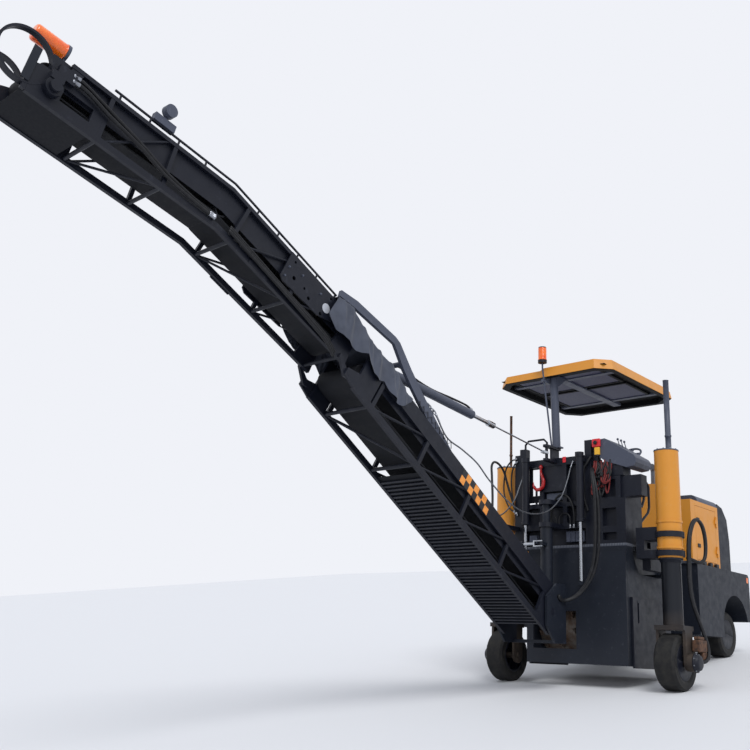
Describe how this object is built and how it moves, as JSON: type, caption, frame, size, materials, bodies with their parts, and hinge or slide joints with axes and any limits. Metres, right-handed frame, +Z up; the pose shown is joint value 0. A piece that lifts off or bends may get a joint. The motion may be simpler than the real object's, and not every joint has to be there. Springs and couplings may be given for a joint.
{
  "type": "cold planer",
  "caption": "Compact wheeled cold planer with lifting rear legs, a closed milling drum, a canopy and a slewing, folding rear loading conveyor.",
  "frame": {"origin": "ground level under the middle of the overall length and width", "axes": "+X towards the front of the machine, +Y to its left, +Z up; the conveyor points to -X"},
  "size_m": [12.0406, 2.92, 6.0801],
  "materials": {
    "yellow_paint": "satin",
    "charcoal_paint": "satin",
    "black_paint": "satin",
    "grey_paint": "satin",
    "worn_steel": "worn",
    "chrome_rod": "polished",
    "tyre_rubber": "matte",
    "belt_rubber": "matte",
    "seat_cover": "matte",
    "red_paint": "gloss",
    "orange_lens": "gloss"
  },
  "bodies": {
    "chassis": {"chassis_frame": "charcoal_paint", "side_body_right": "charcoal_paint", "side_body_left": "charcoal_paint", "hood_shell": "yellow_paint", "hood_top": "grey_paint", "nose_grille": "charcoal_paint", "engine_block": "grey_paint", "exhaust_pipe": "worn_steel", "drum_housing": "charcoal_paint", "platform": "grey_paint", "tower_frame": "black_paint", "console": "grey_paint", "seat": "seat_cover", "handrails": "black_paint", "canopy_post": "grey_paint", "canopy_roof": "yellow_paint", "machine_lamps": "orange_lens", "left_leg_tube": "yellow_paint", "front_axle": "black_paint", "red_hook": "red_paint"},
    "milling_drum": {"milling_drum": "worn_steel"},
    "scraper": {"scraper_plate": "charcoal_paint"},
    "side_plate_right": {"side_plate_right": "black_paint"},
    "side_plate_left": {"side_plate_left": "black_paint"},
    "right_leg": {"swing_arm": "black_paint", "right_leg_tube": "yellow_paint"},
    "right_leg_slide": {"right_leg_slide": "black_paint"},
    "left_leg_slide": {"left_leg_slide": "black_paint"},
    "wheel_rear_right": {"tyre_rear_right": "tyre_rubber", "rim_rear_right": "black_paint"},
    "wheel_rear_left": {"tyre_rear_left": "tyre_rubber", "rim_rear_left": "black_paint"},
    "knuckle_right": {"knuckle_right": "black_paint"},
    "knuckle_left": {"knuckle_left": "black_paint"},
    "tie_rod": {"tie_rod": "grey_paint"},
    "wheel_front_right": {"tyre_front_right": "tyre_rubber", "rim_front_right": "black_paint"},
    "wheel_front_left": {"tyre_front_left": "tyre_rubber", "rim_front_left": "black_paint"},
    "slew_bracket": {"slew_bracket": "charcoal_paint"},
    "lower_conveyor": {"lower_frame": "black_paint", "lower_belt": "belt_rubber", "support_arm": "grey_paint"},
    "upper_conveyor": {"upper_frame": "black_paint", "upper_belt": "belt_rubber", "head_lamps": "orange_lens"},
    "hoist_barrel": {"hoist_barrel": "grey_paint"},
    "hoist_rod": {"hoist_rod": "chrome_rod"},
    "slew_barrel": {"slew_barrel": "black_paint"},
    "slew_rod": {"slew_rod": "chrome_rod"},
    "hood_door_right": {"hood_door_right": "yellow_paint"},
    "hood_door_left": {"hood_door_left": "yellow_paint"}
  },
  "joints": [
    {"name": "drum_spin", "type": "hinge", "parent": "chassis", "child": "milling_drum", "pos_m": [2.38579, 0.02, 0.71725], "axis": [0, 1, 0], "continuous": true},
    {"name": "scraper_lift", "type": "slide", "parent": "chassis", "child": "scraper", "axis": [0.1351, 0, 0.9908], "range_m": [0, 0.3]},
    {"name": "side_plate_right_lift", "type": "slide", "parent": "chassis", "child": "side_plate_right", "axis": [0.1351, 0, 0.9908], "range_m": [0, 0.25]},
    {"name": "side_plate_left_lift", "type": "slide", "parent": "chassis", "child": "side_plate_left", "axis": [0.1351, 0, 0.9908], "range_m": [0, 0.25]},
    {"name": "leg_swing", "type": "hinge", "parent": "chassis", "child": "right_leg", "pos_m": [2.81678, -0.835, 1.43561], "axis": [0.1351, 0, 0.9908], "range_deg": [0, 180]},
    {"name": "right_leg_lift", "type": "slide", "parent": "right_leg", "child": "right_leg_slide", "axis": [0.1351, 0, 0.9908], "range_m": [-0.15, 0.3]},
    {"name": "left_leg_lift", "type": "slide", "parent": "chassis", "child": "left_leg_slide", "axis": [0.1351, 0, 0.9908], "range_m": [-0.15, 0.3]},
    {"name": "rear_right_spin", "type": "hinge", "parent": "right_leg_slide", "child": "wheel_rear_right", "pos_m": [1.93938, -1.205, 0.33], "axis": [0, 1, 0], "continuous": true},
    {"name": "rear_left_spin", "type": "hinge", "parent": "left_leg_slide", "child": "wheel_rear_left", "pos_m": [1.93938, 1.205, 0.33], "axis": [0, 1, 0], "continuous": true},
    {"name": "steer_left", "type": "hinge", "parent": "chassis", "child": "knuckle_left", "pos_m": [5.30019, 0.86, 0.33], "axis": [0.1351, 0, 0.9908], "range_deg": [-30, 30]},
    {"name": "steer_right", "type": "hinge", "parent": "chassis", "child": "knuckle_right", "pos_m": [5.30019, -0.21, 0.33], "axis": [0.1351, 0, 0.9908], "range_deg": [-30, 30]},
    {"name": "tie_rod_pivot", "type": "hinge", "parent": "knuckle_left", "child": "tie_rod", "pos_m": [5.05541, 0.86, 0.23722], "axis": [0.1351, 0, 0.9908], "range_deg": [-30, 30]},
    {"name": "front_right_spin", "type": "hinge", "parent": "knuckle_right", "child": "wheel_front_right", "pos_m": [5.30019, -0.395, 0.33], "axis": [0, 1, 0], "continuous": true},
    {"name": "front_left_spin", "type": "hinge", "parent": "knuckle_left", "child": "wheel_front_left", "pos_m": [5.30019, 1.045, 0.33], "axis": [0, 1, 0], "continuous": true},
    {"name": "conveyor_slew", "type": "hinge", "parent": "chassis", "child": "slew_bracket", "pos_m": [1.72236, 0.325, 1.62519], "axis": [0.1351, 0, 0.9908], "range_deg": [-45, 45]},
    {"name": "conveyor_lift", "type": "hinge", "parent": "slew_bracket", "child": "lower_conveyor", "pos_m": [1.14814, 0.325, 0.96672], "axis": [0, 1, 0], "range_deg": [-12, 8]},
    {"name": "conveyor_fold", "type": "hinge", "parent": "lower_conveyor", "child": "upper_conveyor", "pos_m": [-2.29005, 0.325, 3.5544], "axis": [0, 1, 0], "range_deg": [-80, 0]},
    {"name": "hoist_pivot", "type": "hinge", "parent": "lower_conveyor", "child": "hoist_barrel", "pos_m": [-1.40574, 0.325, 3.76918], "axis": [0, 1, 0], "range_deg": [-3, 3]},
    {"name": "hoist_stroke", "type": "slide", "parent": "hoist_barrel", "child": "hoist_rod", "axis": [0.9743, 0, -0.2253], "range_m": [-0.35, 0.5]},
    {"name": "slew_pivot", "type": "hinge", "parent": "chassis", "child": "slew_barrel", "pos_m": [1.57418, 0.945, 1.79678], "axis": [0.1351, 0, 0.9908], "range_deg": [-6, 6]},
    {"name": "slew_stroke", "type": "slide", "parent": "slew_barrel", "child": "slew_rod", "axis": [-0.0107, -0.9999, 0.0015], "range_m": [-0.16, 0.16]},
    {"name": "hood_door_right_swing", "type": "hinge", "parent": "chassis", "child": "hood_door_right", "pos_m": [5.06325, -0.615, 1.77526], "axis": [0.1351, 0, 0.9908], "range_deg": [0, 100]},
    {"name": "hood_door_left_swing", "type": "hinge", "parent": "chassis", "child": "hood_door_left", "pos_m": [5.06325, 1.265, 1.77526], "axis": [0.1351, 0, 0.9908], "range_deg": [-100, 0]}
  ],
  "couplings": [
    {"joint": "steer_right", "follows": "steer_left", "ratio": 1},
    {"joint": "tie_rod_pivot", "follows": "steer_left", "ratio": -1},
    {"joint": "hoist_pivot", "follows": "conveyor_lift", "ratio": -0.0834},
    {"joint": "hoist_stroke", "follows": "conveyor_lift", "m_per_rad": -2.1551},
    {"joint": "slew_pivot", "follows": "conveyor_slew", "ratio": 0.0505},
    {"joint": "slew_stroke", "follows": "conveyor_slew", "m_per_rad": 0.1767}
  ]
}
